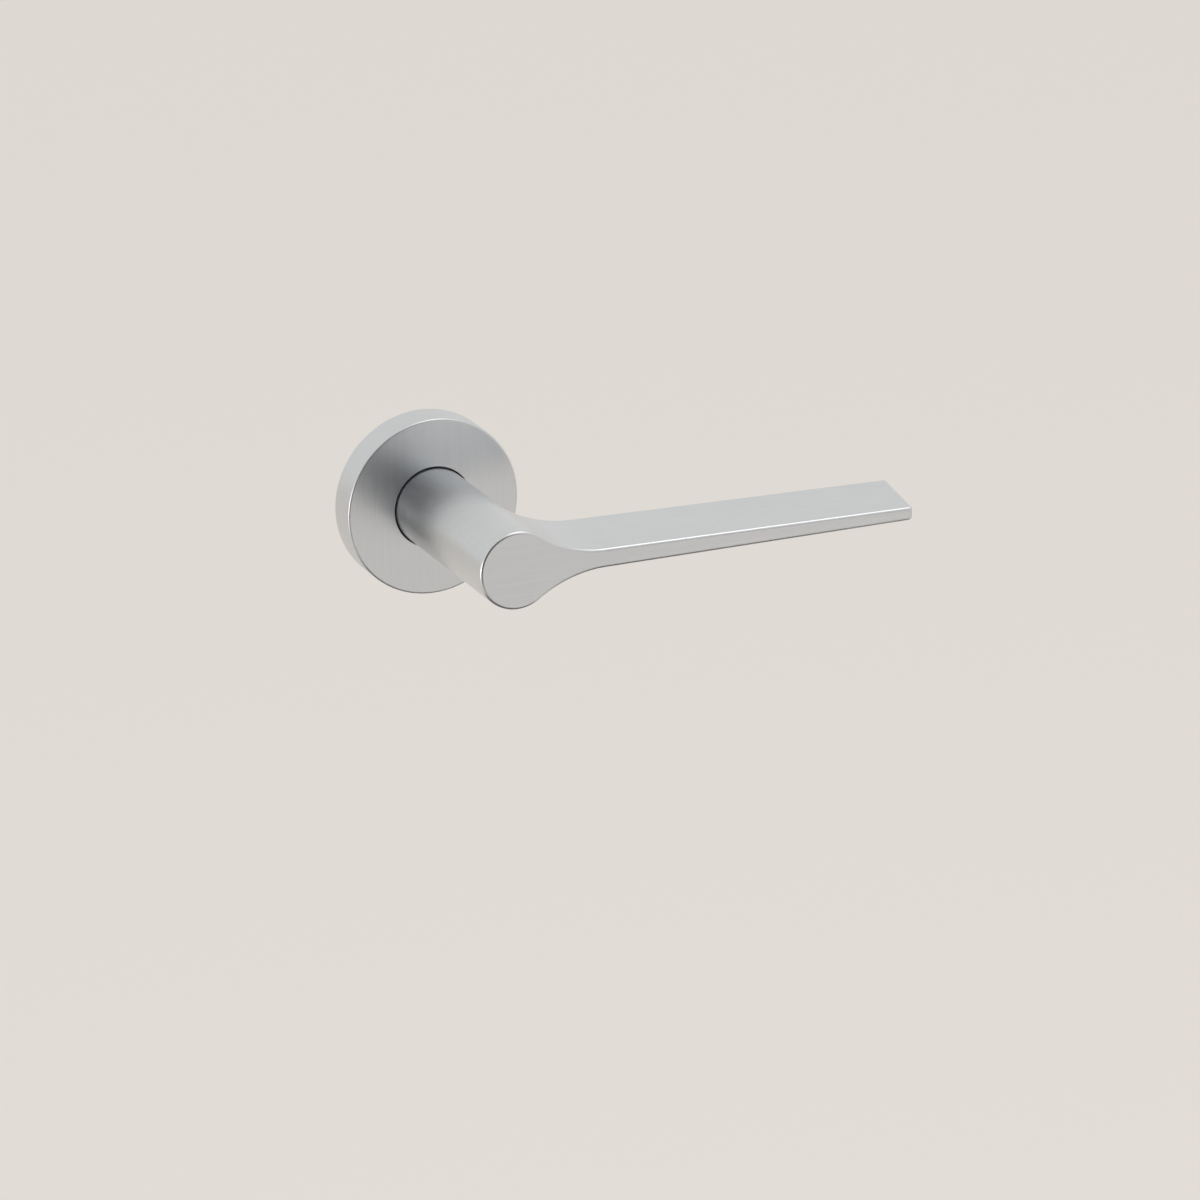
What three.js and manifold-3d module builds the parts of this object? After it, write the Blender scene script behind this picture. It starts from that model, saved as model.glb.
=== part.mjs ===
// Door lever handle on a round sprung rose, one side of the door, with its spindle and fixings.
// Millimetres, +Z up. The door face is the plane y = 0 and the origin is the rose's centre on it.
// The lever points along +X, the user stands on the -Y side, and everything at y > 0 is inside the door.
import * as THREE from 'three';
import { mergeVertices } from 'three/addons/utils/BufferGeometryUtils.js';
import Module from 'manifold-3d';

const wasm = await Module();
wasm.setup();

// ---- Driving dimensions ----
const ROSE_RADIUS = 25;
const ROSE_DEPTH = 9.5;
const COVER_WALL = 1.2;
const COVER_EDGE = 0.6; // softened outer edge of the cover's face
const NECK_RADIUS = 11;
const NECK_GAP = 0.5; // radial gap between the neck and the cover's hole
const PROJECTION = 67.7; // door face to the lever's front face
const GRIP_BLEND_RADIUS = 36; // hollow curve from the round end into the grip
const GRIP_ROOT_HALF = 2.75; // half the grip's height where the blend ends
const GRIP_TIP_HALF = 1.95;
const GRIP_TIP_FRONT = 116.6; // the tip is cut at a slant: its back corner reaches further
const GRIP_TIP_BACK = 120.2;
const GRIP_BACK_ROOT = 41.2; // door face to the grip's back, beside the neck and at the tip
const GRIP_BACK_TIP = 43.6;
const GRIP_EDGE = 0.9; // softened edge round the lever's front face
const JOURNAL_RADIUS = 7.5; // the lever's turned shank, which runs in the bush
const JOURNAL_END = 1;
const JOURNAL_FLAT = 6; // half the width across the two flats that key the drive plate
const SPINDLE_SIDE = 8;
const SPINDLE_FRONT = -34; // a half spindle: the other side's handle has its own
const SPINDLE_BACK = 31;
const BOLT_PITCH = 38;
const RUNNING_GAP = 0.1;
const PIECE_GAP = 0.2;

// ---- Places that follow from them, as y values ----
const COVER_INSIDE = -(ROSE_DEPTH - COVER_WALL);
const NECK_SHOULDER = -7.4;
const PLATE_FRONT = NECK_SHOULDER + PIECE_GAP;
const PLATE_THICKNESS = 1;
const PLATE_BACK = PLATE_FRONT + PLATE_THICKNESS;
const BASE_FRONT = PLATE_BACK + PIECE_GAP;
const BASE_FLOOR = -1.2; // floor of the spring pocket
const BASE_RADIUS = 23.3;
const HUB_BORE = 8.8;
const HUB_RADIUS = 11.2;
const POCKET_RADIUS = 14.4;
const WINDOW_RADIUS = 17.4;
const RECESS_RADIUS = 9.9; // pocket in the back of the hub for the washer and the circlip
const RECESS_FLOOR = -2.9;
const FLANGE_SEAT = -5.3;
const FLANGE_RADIUS = 10.2;
const SCREW_CIRCLE = BOLT_PITCH / 2;
const POST_RADIUS = 3.5;
const POST_END = 5;
const INSERT = { radius: 2.6, bore: 1.65, front: -3.2, back: POST_END - 0.2 };
const WOOD_SCREW = { head: 3.6, shank: 1.7, top: -4.4, rim: -4.1, neck: -2.2, taper: 10, tip: 16 };
const SNAP_GROOVE = { front: -2.2, back: -1.2, radius: 22.2 };

const TURN = 2 * Math.PI;
const ROUND = 48; // facets of a large turned face
const SMALL_ROUND = 20;

const satinChrome = { color: 0xbfc1c3, roughness: 0.35, metalness: 1 };
const blackNylon = { color: 0x1b1c1e, roughness: 0.6, metalness: 0 };
const blackRubber = { color: 0x151515, roughness: 0.85, metalness: 0 };
const turnedBrass = { color: 0xb08d4a, roughness: 0.4, metalness: 1 };
const whiteAcetal = { color: 0xe6e4dc, roughness: 0.45, metalness: 0 };
const springSteel = { color: 0x8b8d90, roughness: 0.35, metalness: 1 };
const phosphated = { color: 0x2c2d2f, roughness: 0.55, metalness: 0.8 };
const zincPlated = { color: 0xb9bdc2, roughness: 0.3, metalness: 1 };

const radians = (degrees) => (degrees * Math.PI) / 180;
const polar = (radius, degrees) => {
  const angle = radians(degrees);
  return [radius * Math.cos(angle), radius * Math.sin(angle)];
};

// ---- Geometry to solid and back ----

// A closed geometry as a solid, turned right side out if its faces point inwards.
function solid(geometry) {
  const bare = new THREE.BufferGeometry();
  const loose = geometry.index ? geometry.toNonIndexed() : geometry;
  bare.setAttribute('position', loose.getAttribute('position').clone());
  const merged = mergeVertices(bare, 1e-4);
  const build = (swap) => {
    const corners = [];
    for (let i = 0; i < merged.index.count; i += 3) {
      const [a, b, c] = [0, 1, 2].map((k) => merged.index.getX(i + k));
      if (a !== b && b !== c && c !== a) corners.push(...(swap ? [a, c, b] : [a, b, c]));
    }
    return new wasm.Manifold(new wasm.Mesh({
      numProp: 3,
      vertProperties: merged.attributes.position.array,
      triVerts: new Uint32Array(corners),
    }));
  };
  const made = build(false);
  return made.volume() < 0 ? build(true) : made;
}

const join = (first, ...others) => others.reduce((sum, next) => sum.add(next), first);
const cut = (body, ...tools) => tools.reduce((rest, tool) => rest.subtract(tool), body);

function geometryOf(made) {
  const { numProp, numVert, vertProperties, triVerts } = made.getMesh();
  const places = new Float32Array(numVert * 3);
  for (let i = 0; i < numVert; i++) {
    places.set(vertProperties.subarray(i * numProp, i * numProp + 3), i * 3);
  }
  const geometry = new THREE.BufferGeometry();
  geometry.setAttribute('position', new THREE.BufferAttribute(places, 3));
  geometry.setIndex(new THREE.BufferAttribute(triVerts, 1));
  geometry.computeVertexNormals();
  return geometry;
}

// ---- Shapes ----

// A solid of revolution about Y from [radius, y] points. The profile is closed unless it ends on the axis.
function turned(points, segments = ROUND, at = [0, 0]) {
  const profile = points.map(([r, y]) => new THREE.Vector2(r, y));
  if (points[0][0] > 0 || points.at(-1)[0] > 0) profile.push(profile[0].clone());
  return solid(new THREE.LatheGeometry(profile, segments).translate(at[0], 0, at[1]));
}

const rod = (radius, y0, y1, at = [0, 0], segments = SMALL_ROUND) =>
  turned([[0, y0], [radius, y0], [radius, y1], [0, y1]], segments, at);

const tube = (inner, outer, y0, y1, at = [0, 0], segments = ROUND) =>
  turned([[inner, y0], [outer, y0], [outer, y1], [inner, y1]], segments, at);

// An outline in the XZ plane, extruded from y = low to y = high.
function prism(outline, low, high, options = {}) {
  const edge = options.edge ?? 0;
  const geometry = new THREE.ExtrudeGeometry(outline, {
    depth: high - low - 2 * edge,
    bevelEnabled: edge > 0,
    bevelThickness: edge,
    bevelSize: edge,
    bevelOffset: -edge,
    bevelSegments: 2,
    curveSegments: options.curveSegments ?? 5,
  });
  return solid(geometry.rotateX(Math.PI / 2).translate(0, high - edge, 0));
}

const block = (x0, x1, y0, y1, z0, z1) => solid(new THREE.BoxGeometry(x1 - x0, y1 - y0, z1 - z0)
  .translate((x0 + x1) / 2, (y0 + y1) / 2, (z0 + z1) / 2));

// A block whose length runs outwards from the axis, between two radii, at an angle in the XZ plane.
function radialBlock(from, to, low, high, width, angle) {
  return solid(new THREE.BoxGeometry(to - from, high - low, width)
    .translate((from + to) / 2, (low + high) / 2, 0)
    .rotateY(-radians(angle)));
}

// A ring sector in the XZ plane, angles in degrees from +X towards +Z.
function sector(inner, outer, from, to) {
  const outline = new THREE.Shape();
  outline.absarc(0, 0, outer, radians(from), radians(to), false);
  outline.absarc(0, 0, inner, radians(to), radians(from), true);
  outline.closePath();
  return outline;
}

function discOutline(radius, [x, z] = [0, 0]) {
  const outline = new THREE.Shape();
  outline.absarc(x, z, radius, 0, TURN, false);
  return outline;
}

// ---- Rose cover and its neck ring ----

function roseCover() {
  const hole = NECK_RADIUS + NECK_GAP;
  const inner = ROSE_RADIUS - COVER_WALL;
  const bend = COVER_EDGE * (1 - Math.SQRT1_2);
  return turned([
    [inner, 0],
    [ROSE_RADIUS, 0],
    [ROSE_RADIUS, -(ROSE_DEPTH - COVER_EDGE)],
    [ROSE_RADIUS - bend, -(ROSE_DEPTH - bend)],
    [ROSE_RADIUS - COVER_EDGE, -ROSE_DEPTH],
    [hole, -ROSE_DEPTH],
    [hole, COVER_INSIDE],
    [inner, COVER_INSIDE],
  ]);
}

// A nylon ring that centres the cover on the neck: a flange behind the face and a lip in the gap.
function neckGuideRing() {
  const inner = NECK_RADIUS + RUNNING_GAP;
  const lip = NECK_RADIUS + NECK_GAP - RUNNING_GAP;
  const flange = { radius: 13.4, front: COVER_INSIDE + RUNNING_GAP, back: COVER_INSIDE + 0.7 };
  const lipFront = -(ROSE_DEPTH - 0.5);
  return turned([
    [inner, flange.back],
    [flange.radius, flange.back],
    [flange.radius, flange.front],
    [lip, flange.front],
    [lip, lipFront],
    [inner, lipFront],
  ]);
}

// ---- Rose base ----

// Angles in the XZ plane from +X towards +Z. Pressing the lever down turns the tab towards smaller angles.
const POST_ANGLES = { right: 0, left: 180 };
const WOOD_SCREW_ANGLES = { upper: 45, lower: 225 };
const FIXED_LEG_ANGLE = 300;
const TAB_ANGLE = 150;
const TAB_TRAVEL = 45;
const STOP_GAP = 4.4; // tab's centre line to a buffer's face at each end of the travel
const BUFFER_SPAN = 7;
const STOP_STEP = -4.5; // the spring's leg passes in front of this level, the tab below it

// Moulded base with two posts on its back, a spring pocket round the hub and a window for the drive tab.
function roseBase() {
  const above = BASE_FRONT - 1;
  const body = turned([
    [0, 0],
    [BASE_RADIUS, 0],
    [BASE_RADIUS, SNAP_GROOVE.back],
    [SNAP_GROOVE.radius, SNAP_GROOVE.back],
    [SNAP_GROOVE.radius, SNAP_GROOVE.front],
    [BASE_RADIUS, SNAP_GROOVE.front],
    [BASE_RADIUS, BASE_FRONT + 0.4],
    [BASE_RADIUS - 0.4, BASE_FRONT],
    [0, BASE_FRONT],
  ]);
  const postChamfer = 0.6;
  const posts = Object.values(POST_ANGLES).map((angle) => turned([
    [0, -0.5],
    [POST_RADIUS, -0.5],
    [POST_RADIUS, POST_END - postChamfer],
    [POST_RADIUS - postChamfer, POST_END],
    [0, POST_END],
  ], SMALL_ROUND, polar(SCREW_CIRCLE, angle)));
  const bore = rod(HUB_BORE, -ROSE_DEPTH, 1, [0, 0], ROUND);
  const circlipRecess = rod(RECESS_RADIUS, RECESS_FLOOR, 1, [0, 0], ROUND);
  const flangeRecess = rod(FLANGE_RADIUS + RUNNING_GAP, above, FLANGE_SEAT, [0, 0], ROUND);
  const springPocket = tube(HUB_RADIUS, POCKET_RADIUS, above, BASE_FLOOR);

  // The leg runs ahead of the tab and over its buffer, so the window is longer in front than behind.
  const windowEnd = TAB_ANGLE + STOP_GAP + BUFFER_SPAN + 0.6;
  const windowStart = TAB_ANGLE - TAB_TRAVEL - STOP_GAP - BUFFER_SPAN - 0.6;
  const windowFrom = (start) => sector(POCKET_RADIUS - 0.4, WINDOW_RADIUS, start, windowEnd);
  const legWindow = prism(windowFrom(windowStart - 6), above, STOP_STEP);
  const tabWindow = prism(windowFrom(windowStart), above, BASE_FLOOR);
  const legSlotWidth = 1.7;
  const legSlot = radialBlock(
    POCKET_RADIUS - 0.6, POCKET_RADIUS + 4.4, above, BASE_FLOOR, legSlotWidth, FIXED_LEG_ANGLE);

  const insertBores = Object.values(POST_ANGLES).map((angle) =>
    rod(INSERT.radius + RUNNING_GAP, INSERT.front - 0.4, POST_END + 1, polar(SCREW_CIRCLE, angle)));
  const { head, shank, rim, neck } = WOOD_SCREW;
  const clearance = 0.3;
  const woodScrewSeats = Object.values(WOOD_SCREW_ANGLES).map((angle) => turned([
    [0, above],
    [head + clearance, above],
    [head + clearance, rim],
    [shank + clearance, neck],
    [shank + clearance, 1],
    [0, 1],
  ], SMALL_ROUND, polar(SCREW_CIRCLE, angle)));
  const corePocketSpans = [[241, 258], [262, 279], [321, 344], [62, 80], [192, 208]];
  const corePockets = corePocketSpans.map(([from, to]) => prism(sector(16.2, 21.2, from, to), above, -2.8));
  return cut(join(body, ...posts), bore, circlipRecess, flangeRecess, springPocket,
    legWindow, tabWindow, legSlot, ...insertBores, ...woodScrewSeats, ...corePockets);
}

// ---- Lever ----

// The keyhole outline seen from the front: the neck's circle, two hollow blends and the tapering grip.
function gripOutline() {
  const rise = GRIP_ROOT_HALF + GRIP_BLEND_RADIUS;
  const blendX = Math.sqrt((NECK_RADIUS + GRIP_BLEND_RADIUS) ** 2 - rise ** 2);
  const leave = Math.atan2(rise, blendX); // where the blend leaves the neck's circle
  const reach = GRIP_TIP_BACK + 1;
  const outline = new THREE.Shape();
  outline.absarc(0, 0, NECK_RADIUS, leave, TURN - leave, false);
  outline.absarc(blendX, -rise, GRIP_BLEND_RADIUS, Math.PI - leave, Math.PI / 2, true);
  outline.lineTo(reach, -GRIP_TIP_HALF);
  outline.lineTo(reach, GRIP_TIP_HALF);
  outline.lineTo(blendX, GRIP_ROOT_HALF);
  outline.absarc(blendX, rise, GRIP_BLEND_RADIUS, -Math.PI / 2, leave - Math.PI, true);
  return outline;
}

// Everything on the far side of a straight line in plan, as a tall solid to cut with.
function planCutter(corners) {
  const outline = new THREE.Shape(corners.map(([x, y]) => new THREE.Vector2(x, y)));
  return solid(new THREE.ExtrudeGeometry(outline, { depth: 60, bevelEnabled: false }).translate(0, 0, -30));
}

function leverBody() {
  const grip = prism(gripOutline(), -PROJECTION, 2 - GRIP_BACK_ROOT, { edge: GRIP_EDGE, curveSegments: 20 });
  const behindGrip = planCutter([
    [-NECK_RADIUS - 1, -GRIP_BACK_ROOT],
    [NECK_RADIUS, -GRIP_BACK_ROOT],
    [GRIP_TIP_BACK + 2, -GRIP_BACK_TIP],
    [GRIP_TIP_BACK + 2, -30],
    [-NECK_RADIUS - 1, -30],
  ]);
  const slant = (GRIP_TIP_BACK - GRIP_TIP_FRONT) / (PROJECTION - GRIP_BACK_TIP);
  const beyondTip = planCutter([
    [GRIP_TIP_FRONT - slant, -PROJECTION - 1],
    [GRIP_TIP_FRONT + slant * (PROJECTION - 30), -30],
    [GRIP_TIP_BACK + 20, -30],
    [GRIP_TIP_BACK + 20, -PROJECTION - 1],
  ]);
  const groove = { front: -1.8, back: -0.6, radius: 7.1 };
  const neck = turned([
    [0, -GRIP_BACK_ROOT - 1],
    [NECK_RADIUS, -GRIP_BACK_ROOT - 1],
    [NECK_RADIUS, NECK_SHOULDER],
    [JOURNAL_RADIUS, NECK_SHOULDER],
    [JOURNAL_RADIUS, groove.front],
    [groove.radius, groove.front],
    [groove.radius, groove.back],
    [JOURNAL_RADIUS, groove.back],
    [JOURNAL_RADIUS, JOURNAL_END - 0.4],
    [JOURNAL_RADIUS - 0.4, JOURNAL_END],
    [0, JOURNAL_END],
  ]);
  const flats = [-1, 1].map((side) => {
    const [z0, z1] = [side * JOURNAL_FLAT, side * (JOURNAL_RADIUS + 1)].sort((a, b) => a - b);
    return block(-NECK_RADIUS, NECK_RADIUS, NECK_SHOULDER, BASE_FRONT - 0.1, z0, z1);
  });
  const half = SPINDLE_SIDE / 2 + PIECE_GAP;
  const socket = block(-half, half, SPINDLE_FRONT - 1, JOURNAL_END + 1, -half, half);
  const grubHole = grubRod(GRUB.radius + 0.15, -NECK_RADIUS - 1, -half + 0.5);
  return cut(join(cut(grip, behindGrip, beyondTip), neck), ...flats, socket, grubHole);
}

// ---- Grub screw, on a radial hole in the underside of the neck ----

const GRUB = { y: -15, radius: 2.9, outer: -10.1, inner: -4.25, key: 1.5 };

function grubRod(radius, z0, z1, segments = SMALL_ROUND) {
  return solid(new THREE.CylinderGeometry(radius, radius, z1 - z0, segments)
    .rotateX(Math.PI / 2)
    .translate(0, GRUB.y, (z0 + z1) / 2));
}

function grubScrew() {
  const hexCorner = GRUB.key / Math.cos(Math.PI / 6);
  const keySocket = grubRod(hexCorner, GRUB.outer - 1, GRUB.outer + 2.6, 6);
  return cut(grubRod(GRUB.radius, GRUB.outer, GRUB.inner), keySocket);
}

// ---- Bearing, washer, circlip and drive plate ----

function bearingBush() {
  const inner = JOURNAL_RADIUS + RUNNING_GAP;
  const outer = HUB_BORE - RUNNING_GAP;
  return turned([
    [inner, RECESS_FLOOR],
    [outer, RECESS_FLOOR],
    [outer, FLANGE_SEAT - RUNNING_GAP],
    [FLANGE_RADIUS, FLANGE_SEAT - RUNNING_GAP],
    [FLANGE_RADIUS, BASE_FRONT + 0.05],
    [inner, BASE_FRONT + 0.05],
  ]);
}

const thrustWasher = () => tube(JOURNAL_RADIUS + 0.15, 9.6, RECESS_FLOOR + 0.1, RECESS_FLOOR + 0.5);

// A thin spring washer with three waves, which takes up the lever's end play against the circlip.
function waveWasher() {
  const [inner, outer, thickness, rise, waves] = [JOURNAL_RADIUS + 0.15, 9.2, 0.2, 0.1, 3];
  const middle = RECESS_FLOOR + 0.85;
  const ring = tube(inner, outer, middle - thickness / 2, middle + thickness / 2);
  return waved(ring, rise, waves);
}

// The solid with each point raised along Y by a wave round the axis.
function waved(made, rise, waves) {
  const geometry = geometryOf(made);
  const places = geometry.attributes.position;
  for (let i = 0; i < places.count; i++) {
    const angle = Math.atan2(places.getZ(i), places.getX(i));
    places.setY(i, places.getY(i) + rise * Math.sin(waves * angle));
  }
  return solid(geometry);
}

// An external circlip, open at the bottom, with a pierced lug on each side of the gap.
function circlip() {
  const ring = { inner: 7.25, outer: 9, lug: 9.7, front: -1.7, back: -0.7 };
  const gap = 11;
  const lugSpan = 19;
  const outline = new THREE.Shape();
  outline.absarc(0, 0, ring.outer, radians(-90 + gap + lugSpan), radians(270 - gap - lugSpan), false);
  outline.absarc(0, 0, ring.lug, radians(270 - gap - lugSpan + 2), radians(270 - gap), false);
  outline.absarc(0, 0, ring.inner, radians(270 - gap), radians(-90 + gap), true);
  outline.absarc(0, 0, ring.lug, radians(-90 + gap), radians(-90 + gap + lugSpan - 2), false);
  outline.closePath();
  const holeRadius = 0.6;
  for (const side of [-1, 1]) {
    const [x, z] = polar((ring.inner + ring.lug) / 2, -90 + side * (gap + lugSpan / 2 - 1));
    outline.holes.push(new THREE.Path().absarc(x, z, holeRadius, 0, TURN, true));
  }
  return prism(outline, ring.front, ring.back, { curveSegments: 9 });
}

// Rubber pads that the tab meets at rest and at full travel.
const restBuffer = () => bufferFrom(TAB_ANGLE + STOP_GAP);
const travelBuffer = () => bufferFrom(TAB_ANGLE - TAB_TRAVEL - STOP_GAP - BUFFER_SPAN);

function bufferFrom(angle) {
  const pad = sector(POCKET_RADIUS + 0.2, WINDOW_RADIUS - PIECE_GAP, angle, angle + BUFFER_SPAN);
  return prism(pad, STOP_STEP + RUNNING_GAP, BASE_FLOOR - RUNNING_GAP, { curveSegments: 3 });
}

// Keyed to the journal's flats. Its bent tab carries the return spring's moving leg and meets both stops.
function drivePlate() {
  const ear = { width: 3.2, outer: 16.8 };
  const tab = { width: 2, inner: 14.9, back: -2.4 };
  const disc = rod(13.6, PLATE_FRONT, PLATE_BACK, [0, 0], ROUND);
  const arm = radialBlock(12, ear.outer, PLATE_FRONT, PLATE_BACK, ear.width, TAB_ANGLE);
  const bentTab = radialBlock(tab.inner, ear.outer, PLATE_BACK - 0.5, tab.back, tab.width, TAB_ANGLE);
  const flat = JOURNAL_FLAT + RUNNING_GAP;
  const hole = rod(JOURNAL_RADIUS + RUNNING_GAP, PLATE_FRONT - 1, PLATE_BACK + 1, [0, 0], ROUND)
    .intersect(block(-20, 20, -20, 20, -flat, flat));
  return cut(join(disc, arm, bentTab), hole);
}

// ---- Return spring ----

// Torsion spring: the fixed leg lies in the base's slot, the moving leg bears on the drive plate's tab.
function returnSpring() {
  const coil = { radius: 12.9, wire: 0.6, back: -2, front: -5.25, legTip: 16.6 };
  const from = FIXED_LEG_ANGLE;
  const to = TAB_ANGLE - 6.7 - 2 * 360;
  const place = (radius, degrees, y) => {
    const [x, z] = polar(radius, degrees);
    return new THREE.Vector3(x, y, z);
  };
  const bendSteps = [[coil.legTip, 0], [15, 0], [13.8, 0.6], [13.1, 4]];
  const points = bendSteps.map(([radius, turn]) => place(radius, from - turn, coil.back));
  const turns = 48;
  for (let i = 0; i <= turns; i++) {
    const share = i / turns;
    const degrees = THREE.MathUtils.lerp(from - 10, to + 10, share);
    points.push(place(coil.radius, degrees, THREE.MathUtils.lerp(coil.back, coil.front, share)));
  }
  points.push(...bendSteps.toReversed().map(([radius, turn]) => place(radius, to + turn, coil.front)));
  const path = new THREE.CatmullRomCurve3(points, false, 'centripetal');
  const section = discOutline(coil.wire);
  return solid(new THREE.ExtrudeGeometry(section, { steps: 90, extrudePath: path, curveSegments: 4 }));
}

// A split ring in the base's groove that grips the inside of the cover.
function coverSnapRing() {
  return prism(sector(SNAP_GROOVE.radius + 0.2, ROSE_RADIUS - COVER_WALL - 0.35, -82, 262),
    SNAP_GROOVE.front + 0.1, SNAP_GROOVE.back - 0.1, { curveSegments: 24 });
}

// ---- Spindle ----

const SPRING_SLOT = { front: 9, back: 28, halfWidth: 1.6, floor: 2.6 };

function spindle() {
  const half = SPINDLE_SIDE / 2;
  const chamfer = 0.7;
  const bar = block(-half, half, SPINDLE_FRONT, SPINDLE_BACK, -half, half);
  // Each end is narrowed by a cone whose flank cuts the four corners and edges.
  const reach = half * Math.SQRT2;
  const envelope = turned([
    [0, SPINDLE_FRONT],
    [reach - 2 * chamfer, SPINDLE_FRONT],
    [reach, SPINDLE_FRONT + 2 * chamfer],
    [reach, SPINDLE_BACK - 2 * chamfer],
    [reach - 2 * chamfer, SPINDLE_BACK],
    [0, SPINDLE_BACK],
  ], 32);
  const slot = block(-SPRING_SLOT.halfWidth, SPRING_SLOT.halfWidth,
    SPRING_SLOT.front, SPRING_SLOT.back, SPRING_SLOT.floor, half + 1);
  return cut(bar.intersect(envelope), slot);
}

// A bowed leaf in the spindle's slot, which takes up the play in the lock's follower.
function spindleSpring() {
  const [front, back] = [SPRING_SLOT.front + 0.4, SPRING_SLOT.back - 0.4];
  const middle = (front + back) / 2;
  const [low, crown, thickness] = [SPRING_SLOT.floor + 0.15, 4.35, 0.45];
  const outline = new THREE.Shape();
  outline.moveTo(front, low);
  outline.quadraticCurveTo(middle, 2 * (crown - thickness) - low, back, low);
  outline.lineTo(back, low + thickness);
  outline.quadraticCurveTo(middle, 2 * crown - low - thickness, front, low + thickness);
  outline.closePath();
  const width = 2 * SPRING_SLOT.halfWidth - 0.6;
  // The outline's own x runs along the spindle and its y is height.
  return solid(new THREE.ExtrudeGeometry(outline, { depth: width, bevelEnabled: false, curveSegments: 12 })
    .translate(0, 0, -width / 2)
    .applyMatrix4(new THREE.Matrix4().makeBasis(
      new THREE.Vector3(0, 1, 0), new THREE.Vector3(0, 0, 1), new THREE.Vector3(1, 0, 0))));
}

// ---- Fixings ----

// Two crossed slots in a screw head that faces -Y.
function crossRecess([x, z], top, depth, length) {
  const half = length / 2;
  const blade = 0.45;
  return join(
    block(x - half, x + half, top - 1, top + depth, z - blade, z + blade),
    block(x - blade, x + blade, top - 1, top + depth, z - half, z + half));
}

// A knurled threaded sleeve in the base's post. A bolt from the far side of the door screws into it.
function threadedInsert(at) {
  const { radius, bore, front, back } = INSERT;
  const middle = (front + back) / 2;
  const waist = radius - 0.35;
  return turned([
    [bore, front],
    [radius, front],
    [radius, middle - 0.6],
    [waist, middle - 0.6],
    [waist, middle + 0.6],
    [radius, middle + 0.6],
    [radius, back],
    [bore + 0.35, back],
    [bore, back - 0.35],
  ], SMALL_ROUND, at);
}

function woodScrew(at) {
  const { head, shank, top, rim, neck, taper, tip } = WOOD_SCREW;
  const screw = turned([
    [0, top],
    [head, top],
    [head, rim],
    [shank, neck],
    [shank, taper],
    [shank / 2, tip - 1.5],
    [0, tip],
  ], SMALL_ROUND, at);
  return cut(screw, crossRecess(at, top, 1.4, 3.4));
}

// ---- Assembly ----

const handle = new THREE.Group();

function place(parent, name, made, look) {
  const mesh = new THREE.Mesh(geometryOf(made), new THREE.MeshStandardMaterial(look));
  mesh.name = name;
  parent.add(mesh);
}

const rose = new THREE.Group();
place(rose, 'rose_base', roseBase(), blackNylon);
place(rose, 'bearing_bush', bearingBush(), whiteAcetal);
place(rose, 'return_spring', returnSpring(), springSteel);
place(rose, 'cover_snap_ring', coverSnapRing(), springSteel);
place(rose, 'rest_stop_buffer', restBuffer(), blackRubber);
place(rose, 'travel_stop_buffer', travelBuffer(), blackRubber);
for (const [side, angle] of Object.entries(POST_ANGLES)) {
  place(rose, `threaded_insert_${side}`, threadedInsert(polar(SCREW_CIRCLE, angle)), turnedBrass);
}
for (const [side, angle] of Object.entries(WOOD_SCREW_ANGLES)) {
  place(rose, `wood_screw_${side}`, woodScrew(polar(SCREW_CIRCLE, angle)), zincPlated);
}

const lever = new THREE.Group();
place(lever, 'lever', leverBody(), satinChrome);
place(lever, 'grub_screw', grubScrew(), phosphated);
place(lever, 'drive_plate', drivePlate(), phosphated);
place(lever, 'thrust_washer', thrustWasher(), zincPlated);
place(lever, 'wave_washer', waveWasher(), springSteel);
place(lever, 'circlip', circlip(), phosphated);
place(lever, 'spindle', spindle(), zincPlated);
place(lever, 'spindle_spring', spindleSpring(), springSteel);

const cover = new THREE.Group();
place(cover, 'rose_cover', roseCover(), satinChrome);
place(cover, 'neck_guide_ring', neckGuideRing(), blackNylon);

handle.add(rose, lever, cover);

export default handle;
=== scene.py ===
# Looks of a door lever handle on a round rose. Metres, in the CAD frame: the door's face is y = 0,
# the lever points along +X and the user stands on the -Y side.
import math

import bmesh
import bpy
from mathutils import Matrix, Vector


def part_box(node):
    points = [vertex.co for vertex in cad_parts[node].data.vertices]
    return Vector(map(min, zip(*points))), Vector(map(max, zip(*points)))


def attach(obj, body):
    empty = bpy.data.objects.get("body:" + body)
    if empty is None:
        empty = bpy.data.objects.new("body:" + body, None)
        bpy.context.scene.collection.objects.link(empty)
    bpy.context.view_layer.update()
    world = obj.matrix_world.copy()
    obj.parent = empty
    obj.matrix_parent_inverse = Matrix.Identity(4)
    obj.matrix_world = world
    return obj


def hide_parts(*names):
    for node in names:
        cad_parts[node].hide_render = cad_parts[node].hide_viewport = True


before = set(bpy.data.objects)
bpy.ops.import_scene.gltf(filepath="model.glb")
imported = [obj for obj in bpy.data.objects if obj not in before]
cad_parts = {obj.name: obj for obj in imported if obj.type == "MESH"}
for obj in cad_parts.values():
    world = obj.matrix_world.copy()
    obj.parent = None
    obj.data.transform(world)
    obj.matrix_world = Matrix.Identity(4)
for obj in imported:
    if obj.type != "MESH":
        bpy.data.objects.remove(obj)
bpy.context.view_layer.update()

MM = 0.001

# ---- Sizes read from the frame ----
COVER_LOW, COVER_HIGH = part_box("rose_cover")
LEVER_LOW, LEVER_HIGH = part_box("lever")
SPINDLE_LOW, SPINDLE_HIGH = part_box("spindle")
GRUB_LOW, GRUB_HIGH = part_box("grub_screw")
RING_LOW, RING_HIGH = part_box("neck_guide_ring")

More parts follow.
